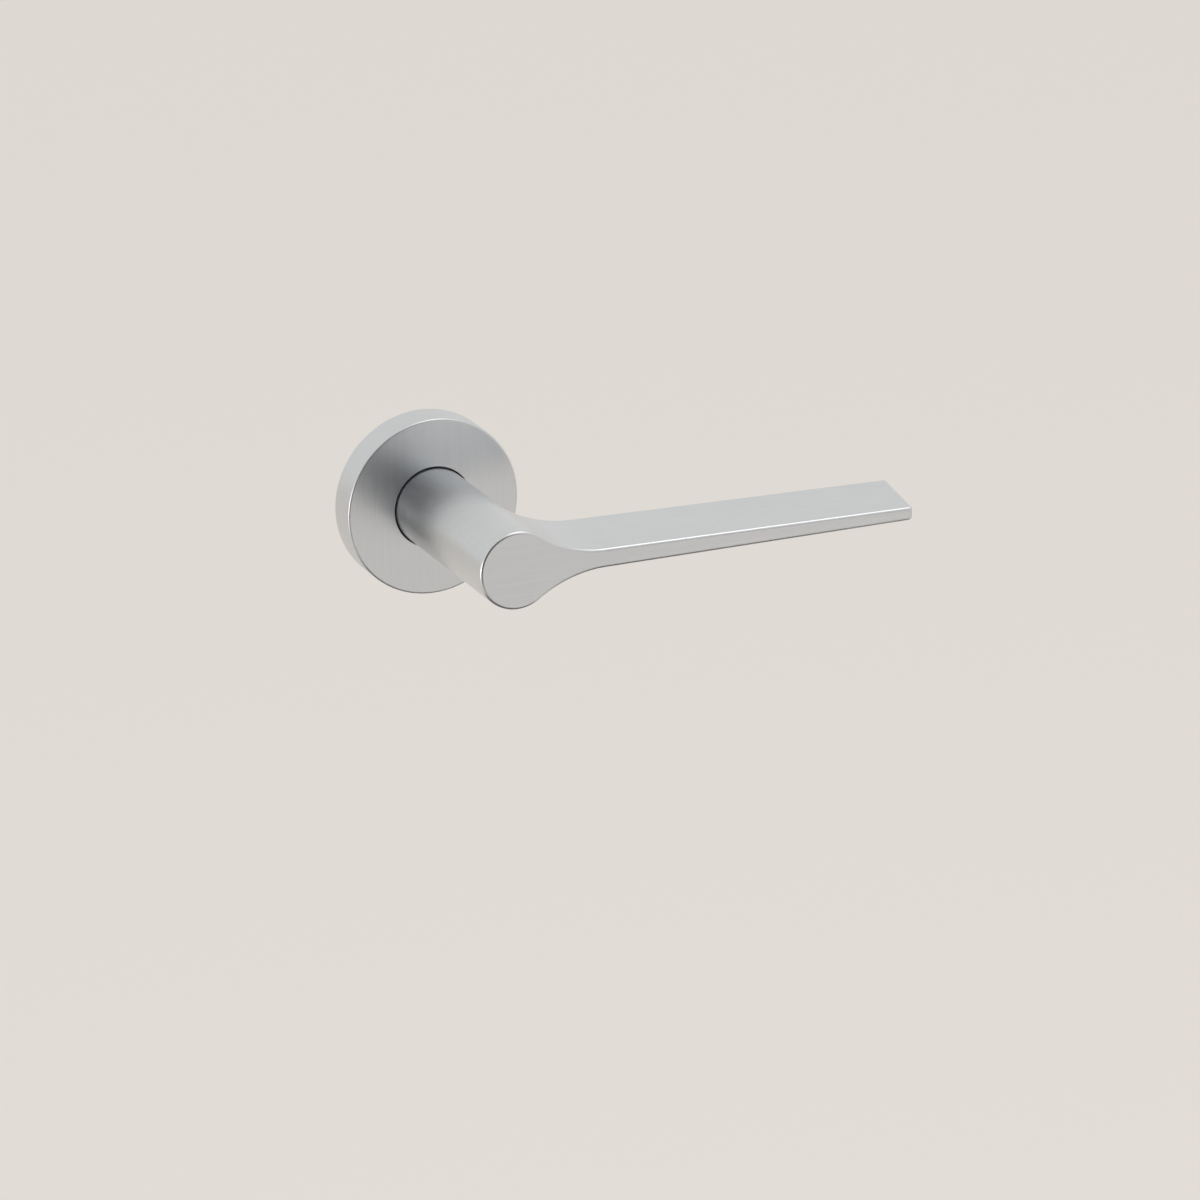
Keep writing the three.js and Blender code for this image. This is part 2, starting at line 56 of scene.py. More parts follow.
ROSE_RADIUS = COVER_HIGH.x
ROSE_DEPTH = -COVER_LOW.y
NECK_RADIUS = -LEVER_LOW.x
PROJECTION = -LEVER_LOW.y
TIP_BACK = LEVER_HIGH.x
JOURNAL_END = LEVER_HIGH.y
SPINDLE_HALF = SPINDLE_HIGH.x
GRUB_RADIUS = GRUB_HIGH.x
GRUB_Y = (GRUB_LOW.y + GRUB_HIGH.y) / 2

# ---- Sizes of the visible surfaces ----
HOLE_RADIUS = NECK_RADIUS + 0.42 * MM
COVER_WALL = 1.2 * MM
TIP_FRONT = TIP_BACK - 3.6 * MM
BLEND_RADIUS = 36 * MM
ROOT_HALF = 2.75 * MM
TIP_HALF = 1.95 * MM
BACK_ROOT = -41.2 * MM
BACK_TIP = -43.6 * MM
EDGE = 0.9 * MM
ROSE_EDGE = 0.6 * MM
SHOULDER = -7.4 * MM
JOURNAL_RADIUS = 7.5 * MM

SLIVER = 0.002 * MM  # vertices nearer than this are merged after a cut
ON_AXIS = 1e-7  # a radius or a step below this counts as none
FACING_FRONT = -0.99  # the normal's y on faces that look straight at the user


# ---- Mesh helpers ----

def finish_mesh(name, mesh, body, materials, node, sharp=32):
    """An object that stands for a CAD node and rides on its body, smooth except at creases over sharp."""
    mesh.name = name
    for polygon in mesh.polygons:
        polygon.use_smooth = True
    mesh.set_sharp_from_angle(angle=math.radians(sharp))
    piece = bpy.data.objects.new(name, mesh)
    bpy.context.scene.collection.objects.link(piece)
    for material in materials:
        mesh.materials.append(material)
    weighted = piece.modifiers.new("weighted_normals", "WEIGHTED_NORMAL")
    weighted.keep_sharp = True
    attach(piece, body)
    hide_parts(node)


def give_front_painted_light(mesh):
    """Gives the second material, the satin metal painted lighter as painted light, to the faces that look
    straight at the user.
    """
    for polygon in mesh.polygons:
        if polygon.normal.y < FACING_FRONT:
            polygon.material_index = 1


def rounded(corners, steps=5):
    """A polyline through (radius, y, fillet) corners, with an arc at each corner that has a fillet."""
    points = []
    count = len(corners)
    for i, (r, y, fillet) in enumerate(corners):
        here = Vector((r, y))
        if not fillet:
            points.append(here)
            continue
        before = (Vector(corners[i - 1][:2]) - here).normalized()
        after = (Vector(corners[(i + 1) % count][:2]) - here).normalized()
        half_angle = before.angle(after) / 2
        reach = fillet / math.tan(half_angle)
        centre = here + (before + after).normalized() * (fillet / math.sin(half_angle))
        start = here + before * reach - centre
        end = here + after * reach - centre
        sweep = start.angle_signed(end)
        for k in range(steps + 1):
            turn = -sweep * k / steps
            c, s = math.cos(turn), math.sin(turn)
            points.append(centre + Vector((c * start.x - s * start.y, s * start.x + c * start.y)))
    return points


def lathe_mesh(name, corners, segments=192, centre=(0, 0), shape=None):
    """A closed profile of (radius, y, fillet) corners revolved about the Y axis at centre (x, z).

    shape gives the radius from the profile's point and the angle, for a thread or a knurl. An end that is
    flat becomes one polygon, so its point on the axis is left out.
    """
    profile = rounded(corners)
    closed = profile[0].x > ON_AXIS or profile[-1].x > ON_AXIS
    flat_ends = [] if closed else [end for end, beside in ((0, 1), (-1, -2))
                                   if abs(profile[end].y - profile[beside].y) < ON_AXIS]
    if 0 in flat_ends:
        profile = profile[1:]
    if -1 in flat_ends:
        profile = profile[:-1]
    bm = bmesh.new()
    rings = []
    for point in profile:
        if point.x < ON_AXIS:
            rings.append([bm.verts.new((centre[0], point.y, centre[1]))])
            continue
        ring = []
        for k in range(segments):
            angle = 2 * math.pi * k / segments
            radius = shape(point, angle) if shape else point.x
            place = (centre[0] + radius * math.cos(angle), point.y, centre[1] + radius * math.sin(angle))
            ring.append(bm.verts.new(place))
        rings.append(ring)
    for i in range(len(rings) if closed else len(rings) - 1):
        low, high = rings[i], rings[(i + 1) % len(rings)]
        for k in range(segments):
            j = (k + 1) % segments
            around = [low[k % len(low)], low[j % len(low)], high[j % len(high)], high[k % len(high)]]
            face = list(dict.fromkeys(around))
            if len(face) > 2:
                bm.faces.new(face)
    for end in flat_ends:
        bm.faces.new(rings[end])
    bmesh.ops.recalc_face_normals(bm, faces=bm.faces)
    mesh = bpy.data.meshes.new(name)
    bm.to_mesh(mesh)
    bm.free()
    return mesh


def combined(mesh, tools, operation="DIFFERENCE"):
    """The mesh with every tool mesh cut out of it, or joined to it for UNION."""
    whole = bpy.data.objects.new("whole", mesh)
    cutters = [bpy.data.objects.new("cutter", tool) for tool in tools]
    for thing in (whole, *cutters):
        bpy.context.scene.collection.objects.link(thing)
    for cutter in cutters:
        boolean = whole.modifiers.new("cut", "BOOLEAN")
        boolean.operation = operation
        boolean.solver = "MANIFOLD"
        boolean.object = cutter
    bpy.context.view_layer.update()
    made = bpy.data.meshes.new_from_object(whole.evaluated_get(bpy.context.evaluated_depsgraph_get()))
    for thing in (whole, *cutters):
        bpy.data.objects.remove(thing)
    # Slivers along the cuts are merged away, so that the surface stays closed.
    bm = bmesh.new()
    bm.from_mesh(made)
    bmesh.ops.remove_doubles(bm, verts=bm.verts, dist=SLIVER)
    bmesh.ops.dissolve_degenerate(bm, edges=bm.edges, dist=SLIVER)
    bm.to_mesh(made)
    bm.free()
    # The solver's result starts with an empty material slot.
    made.materials.clear()
    return made


def rings_mesh(name, rings):
    """A closed mesh: each ring of points is joined to the next, and the two ends are capped."""
    bm = bmesh.new()
    made = [[bm.verts.new(point) for point in ring] for ring in rings]
    for low, high in zip(made, made[1:]):
        for k in range(len(low)):
            j = (k + 1) % len(low)
            bm.faces.new((low[k], low[j], high[j], high[k]))
    bm.faces.new(made[0])
    bm.faces.new(made[-1])
    bmesh.ops.recalc_face_normals(bm, faces=bm.faces)
    mesh = bpy.data.meshes.new(name)
    bm.to_mesh(mesh)
    bm.free()
    return mesh


def prism_mesh(name, outline, low, high, edge=0.0):
    """An outline of (x, z) points extruded from y = low to y = high, its edges softened by edge."""
    mesh = rings_mesh(name, [[(x, y, z) for x, z in outline] for y in (low, high)])
    if edge:
        crease = math.radians(40)
        bm = bmesh.new()
        bm.from_mesh(mesh)
        sharp = [e for e in bm.edges if e.calc_face_angle(0) > crease]
        bmesh.ops.bevel(bm, geom=sharp, offset=edge, segments=2, profile=0.5, affect="EDGES",
                        clamp_overlap=True)
        bm.to_mesh(mesh)
        bm.free()
    return mesh


def polar(radius, degrees):
    return radius * math.cos(math.radians(degrees)), radius * math.sin(math.radians(degrees))


def arc(radius, start, end, steps, centre=(0, 0)):
    turns = [polar(radius, start + (end - start) * k / steps) for k in range(steps + 1)]
    return [(centre[0] + x, centre[1] + z) for x, z in turns]


def sector(inner, outer, start, end):
    """A ring sector, with angles in degrees from +X towards +Z."""
    degrees_per_step = 2.5
    steps = max(4, round(abs(end - start) / degrees_per_step))
    return arc(outer, start, end, steps) + arc(inner, end, start, steps)


def radial_bar(start, end, width, degrees):
    """A bar whose length runs outwards from the axis at an angle."""
    (cx, cz), half = polar(1, degrees), width / 2
    return [(r * cx - side * cz, r * cz + side * cx) for r, side in (
        (start, -half), (end, -half), (end, half), (start, half))]


def rod_mesh(radius, low, high, centre=(0, 0), segments=96):
    corners = [(0, low, 0), (radius, low, 0), (radius, high, 0), (0, high, 0)]
    return lathe_mesh("rod", corners, segments, centre)


# ---- Materials ----

class Nodes:
    """Shorthand for building one node material."""

    def __init__(self, name):
        self.material = bpy.data.materials.new(name)
        self.material.use_nodes = True
        self.tree = self.material.node_tree
        self.shader = self.tree.nodes["Principled BSDF"]
        self.coordinates = self.add("ShaderNodeTexCoord").outputs["Object"]

    def add(self, kind, links=None, **values):
        node = self.tree.nodes.new(kind)
        for key, value in values.items():
            setattr(node, key, value)
        for socket, source in (links or {}).items():
            self.put(node.inputs[socket], source)
        return node

    def put(self, socket, source):
        if isinstance(source, bpy.types.NodeSocket):
            self.tree.links.new(source, socket)
        else:
            socket.default_value = source

    def noise(self, scale, detail=3.0, roughness=0.55, offset=(0, 0, 0)):
        """Noise in object space; scale is how many features there are per metre along each axis."""
        mapping = self.add("ShaderNodeMapping", {
            "Vector": self.coordinates, "Scale": scale, "Location": offset})
        return self.add("ShaderNodeTexNoise", {
            "Vector": mapping.outputs["Vector"], "Scale": 1.0, "Detail": detail, "Roughness": roughness,
        }).outputs["Fac"]

    def spread(self, value, low, high, start=0.25, end=0.75):
        return self.add("ShaderNodeMapRange", {
            "Value": value, "From Min": start, "From Max": end, "To Min": low, "To Max": high,
        }).outputs["Result"]

    def math(self, operation, a, b):
        return self.add("ShaderNodeMath", {0: a, 1: b}, operation=operation).outputs["Value"]

    def tinted(self, colour, value):
        """The colour multiplied by a value that varies over the surface."""
        scaled = self.add("ShaderNodeVectorMath", {0: colour, "Scale": value}, operation="SCALE")
        return scaled.outputs["Vector"]

    def bump(self, height, distance, soft_edge=0.0):
        bump = self.add("ShaderNodeBump", {"Height": height, "Distance": distance, "Strength": 1.0})
        if soft_edge:
            bevel = self.add("ShaderNodeBevel", {"Radius": soft_edge}, samples=4)
            self.put(bump.inputs["Normal"], bevel.outputs["Normal"])
        self.put(self.shader.inputs["Normal"], bump.outputs["Normal"])

    def world_tangent(self, direction):
        """A fixed direction on the piece as the shader's tangent."""
        turn = self.add("ShaderNodeVectorTransform", {"Vector": direction},
                        vector_type="VECTOR", convert_from="OBJECT", convert_to="WORLD")
        self.put(self.shader.inputs["Tangent"], turn.outputs["Vector"])

    def edge_highlight_mask(self, radius):
        """1 near a convex or concave edge, 0 on open surface: the mask of a painted edge highlight."""
        bevel = self.add("ShaderNodeBevel", {"Radius": radius}, samples=4)
        normal = self.add("ShaderNodeNewGeometry").outputs["Normal"]
        dot = self.add("ShaderNodeVectorMath", {0: bevel.outputs["Normal"], 1: normal},
                       operation="DOT_PRODUCT")
        return self.spread(dot.outputs["Value"], 1.0, 0.0, 0.88, 0.999)


SATIN = (0.68, 0.695, 0.71)
# The front faces' colour: the satin colour painted lighter, as painted light for the light these faces
# catch.
FACE_PAINTED_LIGHTER = (0.735, 0.760, 0.792)


def satin_metal(name, grain, across, anisotropic, colour=SATIN, roughness=(0.27, 0.37), depth=0.6):
    """Brushed satin metal.

    grain is the noise scale per metre, lowest along the brushing. across is the tangent. depth is the
    streaks' height in hundredths of a millimetre.
    """
    coarse_scale, fine_share, coarse_share = 0.23, 0.65, 0.35
    n = Nodes(name)
    fine = n.noise(grain, detail=4.0, roughness=0.7)
    coarse = n.noise(tuple(s * coarse_scale for s in grain), detail=2.0, offset=(3.1, 1.7, 5.3))
    cloud = n.noise((55, 55, 55), detail=2.0)
    streaks = n.math("ADD", n.math("MULTIPLY", fine, fine_share), n.math("MULTIPLY", coarse, coarse_share))
    shade = n.math("MULTIPLY", n.spread(streaks, 0.93, 1.05), n.spread(cloud, 0.985, 1.015))
    n.put(n.shader.inputs["Base Color"], n.tinted(colour, shade))
    n.put(n.shader.inputs["Metallic"], 1.0)
    uneven = n.spread(cloud, -0.01, 0.01)
    n.put(n.shader.inputs["Roughness"], n.math("ADD", n.spread(streaks, *roughness), uneven))
    n.put(n.shader.inputs["Anisotropic"], anisotropic)
    if anisotropic:
        n.world_tangent(across)
    n.bump(streaks, depth * 0.01 * MM)
    return n.material


def plain_metal(name, colour, roughness, metallic=1.0):
    """Plated or coated metal with fine mottling, and a painted highlight that makes the edges slightly
    brighter.
    """
    grain, variation, edge_highlight_gain = 2600, 0.05, 0.25
    n = Nodes(name)
    fine = n.noise((grain, grain, grain), detail=4.0)
    cloud = n.noise((90, 90, 90), detail=2.0, offset=(1.3, 0.4, 2.2))
    # Painted highlight: the colour is lighter along every edge.
    painted_edge_highlight = n.edge_highlight_mask(0.15 * MM)
    shade = n.math("ADD", n.spread(fine, 1 - variation, 1 + variation), n.math("MULTIPLY", painted_edge_highlight, edge_highlight_gain))
    shade = n.math("MULTIPLY", shade, n.spread(cloud, 0.95, 1.05))
    n.put(n.shader.inputs["Base Color"], n.tinted(colour, shade))
    n.put(n.shader.inputs["Metallic"], metallic)
    n.put(n.shader.inputs["Roughness"], n.spread(fine, roughness - 0.03, roughness + 0.05))
    n.bump(fine, 0.001 * MM, soft_edge=0.08 * MM)
    return n.material


def moulded(name, colour, roughness):
    """Moulded plastic or rubber with a fine spark-eroded grain, and a painted highlight that makes the edges
    brighter.
    """
    grain, depth, edge_highlight_gain = 1400, 0.02 * MM, 0.5
    n = Nodes(name)
    fine = n.noise((grain, grain, grain), detail=5.0, roughness=0.6)
    cloud = n.noise((120, 120, 120), detail=2.0)
    # Painted highlight: the colour is lighter along every edge.
    painted_edge_highlight = n.edge_highlight_mask(0.2 * MM)
    shade = n.math("ADD", n.spread(cloud, 0.85, 1.15), n.math("MULTIPLY", painted_edge_highlight, edge_highlight_gain))
    n.put(n.shader.inputs["Base Color"], n.tinted(colour, shade))
    n.put(n.shader.inputs["Roughness"], n.spread(fine, roughness - 0.08, roughness + 0.1))
    n.bump(fine, depth, soft_edge=0.12 * MM)
    return n.material


# The faces that look at the user get the satin metal painted lighter, as painted light; their brushing runs
# its own way.
rose_face_metal_painted_lighter = satin_metal("rose_face_metal_painted_lighter", (3600, 3600, 75), (1, 0, 0), 0.55, FACE_PAINTED_LIGHTER)
rose_rim_metal = satin_metal("rose_rim_metal", (900, 3600, 900), (1, 0, 0), 0.0, roughness=(0.30, 0.38))
grip_face_metal_painted_lighter = satin_metal("grip_face_metal_painted_lighter", (75, 3600, 3200), (0, 0, 1), 0.4, FACE_PAINTED_LIGHTER,
                              roughness=(0.29, 0.36))
neck_metal = satin_metal("neck_metal", (700, 2600, 700), (0, 0, 1), 0.0, roughness=(0.27, 0.33), depth=0.3)
zinc = plain_metal("zinc_plated_steel", (0.56, 0.59, 0.63), 0.3)
phosphate = plain_metal("phosphated_steel", (0.05, 0.05, 0.055), 0.5, metallic=0.7)
spring_steel = plain_metal("spring_steel", (0.36, 0.37, 0.38), 0.32)
brass = plain_metal("brass", (0.62, 0.43, 0.16), 0.3)
black_nylon = moulded("black_nylon", (0.022, 0.022, 0.024), 0.5)
white_acetal = moulded("white_acetal", (0.74, 0.73, 0.68), 0.42)
black_rubber = moulded("black_rubber", (0.015, 0.015, 0.015), 0.75)


# ---- Lever ----

def back_plane(x):
    """Height y of the grip's back at x."""
    run = TIP_BACK + 2 * MM - NECK_RADIUS
    return BACK_ROOT + (BACK_TIP - BACK_ROOT) * (x - NECK_RADIUS) / run


def keyhole():
    """Half of the front outline: the blend and the edge of the grip, from the neck's circle to the tip."""
    rise = ROOT_HALF + BLEND_RADIUS
    blend_x = math.sqrt((NECK_RADIUS + BLEND_RADIUS) ** 2 - rise ** 2)
    leave = math.atan2(rise, blend_x)
    blend_steps = 40
    grip_steps = 24
    half = []
    for k in range(1, blend_steps + 1):
        angle = math.pi + leave + (math.pi / 2 - leave) * k / blend_steps
        half.append((blend_x + BLEND_RADIUS * math.cos(angle), rise + BLEND_RADIUS * math.sin(angle)))
    for k in range(1, grip_steps + 1):
        x = blend_x + (TIP_BACK - blend_x) * k / grip_steps
        half.append((x, ROOT_HALF + (TIP_HALF - ROOT_HALF) * k / grip_steps))
    return leave, half


def lever_mesh():
    leave, half = keyhole()
    left_steps, right_steps = 120, 48
    left = [leave + (2 * math.pi - 2 * leave) * k / left_steps for k in range(left_steps + 1)]
    right = [-leave + 2 * leave * k / right_steps for k in range(1, right_steps)]
    on_circle = [(NECK_RADIUS * math.cos(a), NECK_RADIUS * math.sin(a)) for a in left]
    on_right = [(NECK_RADIUS * math.cos(a), NECK_RADIUS * math.sin(a)) for a in right]
    lower = [(x, -z) for x, z in half]
    outline = on_circle + lower + half[::-1]
    tangent_x = on_circle[0][0]
    bm = bmesh.new()

    def front_x(x):
        return x - (TIP_BACK - TIP_FRONT) * (x - tangent_x) / (TIP_BACK - tangent_x)

    front = [bm.verts.new((front_x(x) if x > tangent_x else x, -PROJECTION, z)) for x, z in outline]
    back = [bm.verts.new((x, back_plane(max(x, tangent_x)), z)) for x, z in outline]
    right_back = [bm.verts.new((x, back_plane(x), z)) for x, z in on_right]
    count = len(outline)
    bm.faces.new(front)
    for i in range(count):
        j = (i + 1) % count
        bm.faces.new((front[i], front[j], back[j], back[i]))
    bm.faces.new(back[left_steps:] + [back[0]] + right_back[::-1])
    bevelled = [bm.edges.get((front[i], front[(i + 1) % count])) for i in range(count)]
    fade = 4  # edges left sharp where the grip's back runs into the neck
    around = back[left_steps + fade:count - fade + 1]
    bevelled += [bm.edges.get(pair) for pair in zip(around, around[1:])]
    tip_low = left_steps + len(half)
    bevelled += [bm.edges.get((front[i], back[i])) for i in (tip_low, tip_low + 1)]

    # The neck runs from the grip's back to the shoulder, then the journal and the square socket.
    ring = back[:left_steps + 1] + right_back
    angles = left + [a + 2 * math.pi for a in right]

    def level(radius_of, y):
        return [bm.verts.new((radius_of(a) * math.cos(a), y, radius_of(a) * math.sin(a))) for a in angles]

    def bridge(low, high):
        for i in range(len(low)):
            j = (i + 1) % len(low)
            bm.faces.new((low[i], low[j], high[j], high[i]))

    def square(a):
        return socket / max(abs(math.cos(a)), abs(math.sin(a)))

    neck_levels = 8
    socket, socket_end = SPINDLE_HALF + 0.2 * MM, SPINDLE_LOW.y - MM
    waist, waist_end = 5.9 * MM, -6.1 * MM
    groove, groove_start, groove_end = 7.1 * MM, -1.8 * MM, -0.6 * MM
    chamfer_start, chamfer_end = 0.6 * MM, MM
    turned = [(NECK_RADIUS, BACK_ROOT + (SHOULDER - BACK_ROOT) * k / neck_levels)
              for k in range(1, neck_levels + 1)]
    turned += [(waist, SHOULDER), (waist, waist_end), (JOURNAL_RADIUS, waist_end),
               (JOURNAL_RADIUS, groove_start), (groove, groove_start), (groove, groove_end),
               (JOURNAL_RADIUS, groove_end), (JOURNAL_RADIUS, chamfer_start), (groove, chamfer_end)]
    steps = [(lambda a, r=r: r, y) for r, y in turned]
    steps += [(square, JOURNAL_END), (square, socket_end)]
    for radius_of, y in steps:
        above = level(radius_of, y)
        bridge(ring, above)
        ring = above
    bm.faces.new(ring)
    bmesh.ops.recalc_face_normals(bm, faces=bm.faces)
    bmesh.ops.bevel(bm, geom=bevelled, offset=EDGE, segments=5, profile=0.5, affect="EDGES",
                    clamp_overlap=False, loop_slide=True)
    mesh = bpy.data.meshes.new("lever_whole")
    bm.to_mesh(mesh)
    bm.free()
    return mesh


def drill_mesh(radius, low, high, y):
    """An upright cylinder to cut with."""
    bm = bmesh.new()
    bmesh.ops.create_cone(bm, cap_ends=True, segments=64, radius1=radius, radius2=radius, depth=high - low)
    bmesh.ops.translate(bm, verts=bm.verts, vec=(0, y, (low + high) / 2))
    mesh = bpy.data.meshes.new("drill")
    bm.to_mesh(mesh)
    bm.free()
    return mesh


def make_lever():
    # The grub screw's hole runs from below the neck on into the square socket.
    drill = drill_mesh(GRUB_RADIUS + 0.15 * MM, -NECK_RADIUS - MM, -SPINDLE_HALF + 0.5 * MM, GRUB_Y)
    mesh = combined(lever_mesh(), [drill])
    finish_mesh("lever_body", mesh, "handle", [neck_metal, grip_face_metal_painted_lighter], "lever")
    give_front_painted_light(mesh)


def make_rose_cover():
    inner = ROSE_RADIUS - COVER_WALL
    mesh = lathe_mesh("rose_cover_shell", [
        (inner, 0, 0.1 * MM),
        (ROSE_RADIUS, 0, 0.15 * MM),
        (ROSE_RADIUS, -ROSE_DEPTH, ROSE_EDGE),
        (HOLE_RADIUS, -ROSE_DEPTH, 0.12 * MM),
        (HOLE_RADIUS, COVER_WALL - ROSE_DEPTH, 0.1 * MM),
        (inner, COVER_WALL - ROSE_DEPTH, 0),
    ], 256)
    finish_mesh("rose_cover_shell", mesh, "cover", [rose_rim_metal, rose_face_metal_painted_lighter],
                "rose_cover")
    give_front_painted_light(mesh)


def make_neck_ring():
    play = 0.06 * MM
    inner, outer = NECK_RADIUS + play, HOLE_RADIUS - play
    flange_front = COVER_WALL - ROSE_DEPTH + 0.1 * MM
    mesh = lathe_mesh("neck_ring", [
        (inner, RING_HIGH.y, 0),
        (RING_HIGH.x, RING_HIGH.y, 0),
        (RING_HIGH.x, flange_front, 0),
        (outer, flange_front, 0),
        (outer, RING_LOW.y, 0),
        (inner, RING_LOW.y, 0),
    ])
    finish_mesh("neck_ring", mesh, "cover", [black_nylon], "neck_guide_ring")


# ---- Rose base and what it carries ----

BASE_FRONT = -6 * MM
BASE_FLOOR = -1.2 * MM
ABOVE = BASE_FRONT - MM  # where a tool that cuts from the front starts
BASE_RADIUS = 23.3 * MM
HUB_BORE = 8.8 * MM
POCKET_RADIUS = 14.4 * MM
WINDOW_RADIUS = 17.4 * MM
RECESS_RADIUS, RECESS_FLOOR = 9.9 * MM, -2.9 * MM
FLANGE_RADIUS, FLANGE_SEAT = 10.2 * MM, -5.3 * MM
SCREW_CIRCLE = 19 * MM
POST_RADIUS, POST_END = 3.5 * MM, 5 * MM
INSERT_RADIUS, INSERT_FRONT, INSERT_BACK = 2.6 * MM, -3.2 * MM, 4.8 * MM
POSTS = {"right": 0, "left": 180}
WOOD_SCREWS = {"upper": 45, "lower": 225}
STOP_STEP = -4.5 * MM

# Angles in degrees from +X towards +Z.
TAB_ANGLE, TAB_TRAVEL, STOP_GAP, BUFFER_SPAN = 150, 45, 4.4, 7
LEG_ANGLE = 300
CORE_POCKETS = ((241, 258), (262, 279), (321, 344), (62, 80), (192, 208))


def make_base():
    groove, groove_back, groove_front = 22.2 * MM, -1.2 * MM, -2.2 * MM
    blank = lathe_mesh("base_blank", [
        (0, 0, 0), (BASE_RADIUS, 0, 0.15 * MM), (BASE_RADIUS, groove_back, 0), (groove, groove_back, 0),
        (groove, groove_front, 0), (BASE_RADIUS, groove_front, 0), (BASE_RADIUS, BASE_FRONT, 0.45 * MM),
        (0, BASE_FRONT, 0)])
    posts = [lathe_mesh("post", [(0, -0.5 * MM, 0), (POST_RADIUS, -0.5 * MM, 0),
                                 (POST_RADIUS, POST_END, 0.6 * MM), (0, POST_END, 0)],
                        64, polar(SCREW_CIRCLE, angle)) for angle in POSTS.values()]
    buffer_play, leg_room = 0.6, 6
    window_end = TAB_ANGLE + STOP_GAP + BUFFER_SPAN + buffer_play
    window_start = TAB_ANGLE - TAB_TRAVEL - STOP_GAP - BUFFER_SPAN - buffer_play
    leg_start = window_start - leg_room
    inside = POCKET_RADIUS - 0.4 * MM
    pocket_inner = 11.2 * MM
    slot = radial_bar(POCKET_RADIUS - 0.6 * MM, POCKET_RADIUS + 4.4 * MM, 1.7 * MM, LEG_ANGLE)
    tools = [
        rod_mesh(HUB_BORE, ABOVE, MM),
        rod_mesh(RECESS_RADIUS, RECESS_FLOOR, MM),
        rod_mesh(FLANGE_RADIUS + 0.1 * MM, ABOVE, FLANGE_SEAT),
        lathe_mesh("pocket", [(pocket_inner, ABOVE, 0), (POCKET_RADIUS, ABOVE, 0),
                              (POCKET_RADIUS, BASE_FLOOR, 0.3 * MM),
                              (pocket_inner, BASE_FLOOR, 0.3 * MM)], 96),
        prism_mesh("leg_window", sector(inside, WINDOW_RADIUS, leg_start, window_end), ABOVE, STOP_STEP),
        prism_mesh("tab_window", sector(inside, WINDOW_RADIUS, window_start, window_end), ABOVE, BASE_FLOOR),
        prism_mesh("leg_slot", slot, ABOVE, BASE_FLOOR),
    ]
    tools += [rod_mesh(INSERT_RADIUS + 0.1 * MM, INSERT_FRONT - 0.4 * MM, POST_END + MM,
                       polar(SCREW_CIRCLE, angle), 64) for angle in POSTS.values()]
    tools += [lathe_mesh("screw_seat", [(0, ABOVE, 0), (3.9 * MM, ABOVE, 0), (3.9 * MM, -4.1 * MM, 0),
                                        (2 * MM, -2.2 * MM, 0), (2 * MM, MM, 0), (0, MM, 0)],
                         64, polar(SCREW_CIRCLE, angle)) for angle in WOOD_SCREWS.values()]
    tools += [prism_mesh("core_pocket", sector(16.2 * MM, 21.2 * MM, start, end), ABOVE, -2.8 * MM)
              for start, end in CORE_POCKETS]
    mesh = combined(combined(blank, posts, "UNION"), tools)
    finish_mesh("base_moulding", mesh, "rose", [black_nylon], "rose_base")


def make_bush():
    inner = JOURNAL_RADIUS + 0.1 * MM
    outer = HUB_BORE - 0.1 * MM
    flange_back, flange_front = FLANGE_SEAT - 0.1 * MM, BASE_FRONT + 0.05 * MM
    mesh = lathe_mesh("bush", [
        (inner, RECESS_FLOOR, 0.15 * MM), (outer, RECESS_FLOOR, 0.15 * MM), (outer, flange_back, 0),
        (FLANGE_RADIUS, flange_back, 0), (FLANGE_RADIUS, flange_front, 0.1 * MM),
        (inner, flange_front, 0.1 * MM)], 128)
    finish_mesh("bush", mesh, "rose", [white_acetal], "bearing_bush")


def curve_through(points, steps):
    """Points along a centripetal curve through the given ones."""
    ends = [2 * points[0] - points[1], *points, 2 * points[-1] - points[-2]]
    made = []
    for a, b, c, d in zip(ends, ends[1:], ends[2:], ends[3:]):
        t0 = 0
        t1 = (b - a).length ** 0.5
        t2 = t1 + (c - b).length ** 0.5
        t3 = t2 + (d - c).length ** 0.5
        for k in range(steps):
            t = t1 + (t2 - t1) * k / steps
            ab = a.lerp(b, (t - t0) / (t1 - t0))
            bc = b.lerp(c, (t - t1) / (t2 - t1))
            cd = c.lerp(d, (t - t2) / (t3 - t2))
            abc = ab.lerp(bc, (t - t0) / (t2 - t0))
            bcd = bc.lerp(cd, (t - t1) / (t3 - t1))
            made.append(abc.lerp(bcd, (t - t1) / (t2 - t1)))
    return made + [points[-1]]


def wire_mesh(name, points, radius, sides=14):
    """A round wire along the points, slightly narrower at its ends."""
    end_width = 0.8
    tangents = [(points[min(i + 1, len(points) - 1)] - points[max(i - 1, 0)]).normalized()
                for i in range(len(points))]
    side = tangents[0].orthogonal().normalized()
    rings = []
    for i, (point, tangent) in enumerate(zip(points, tangents)):
        side = (side - tangent * side.dot(tangent)).normalized()
        up = tangent.cross(side)
        wide = radius * (end_width if i in (0, len(points) - 1) else 1)
        rings.append([point + side * wide * math.cos(2 * math.pi * k / sides)
                      + up * wide * math.sin(2 * math.pi * k / sides) for k in range(sides)])
    return rings_mesh(name, rings)


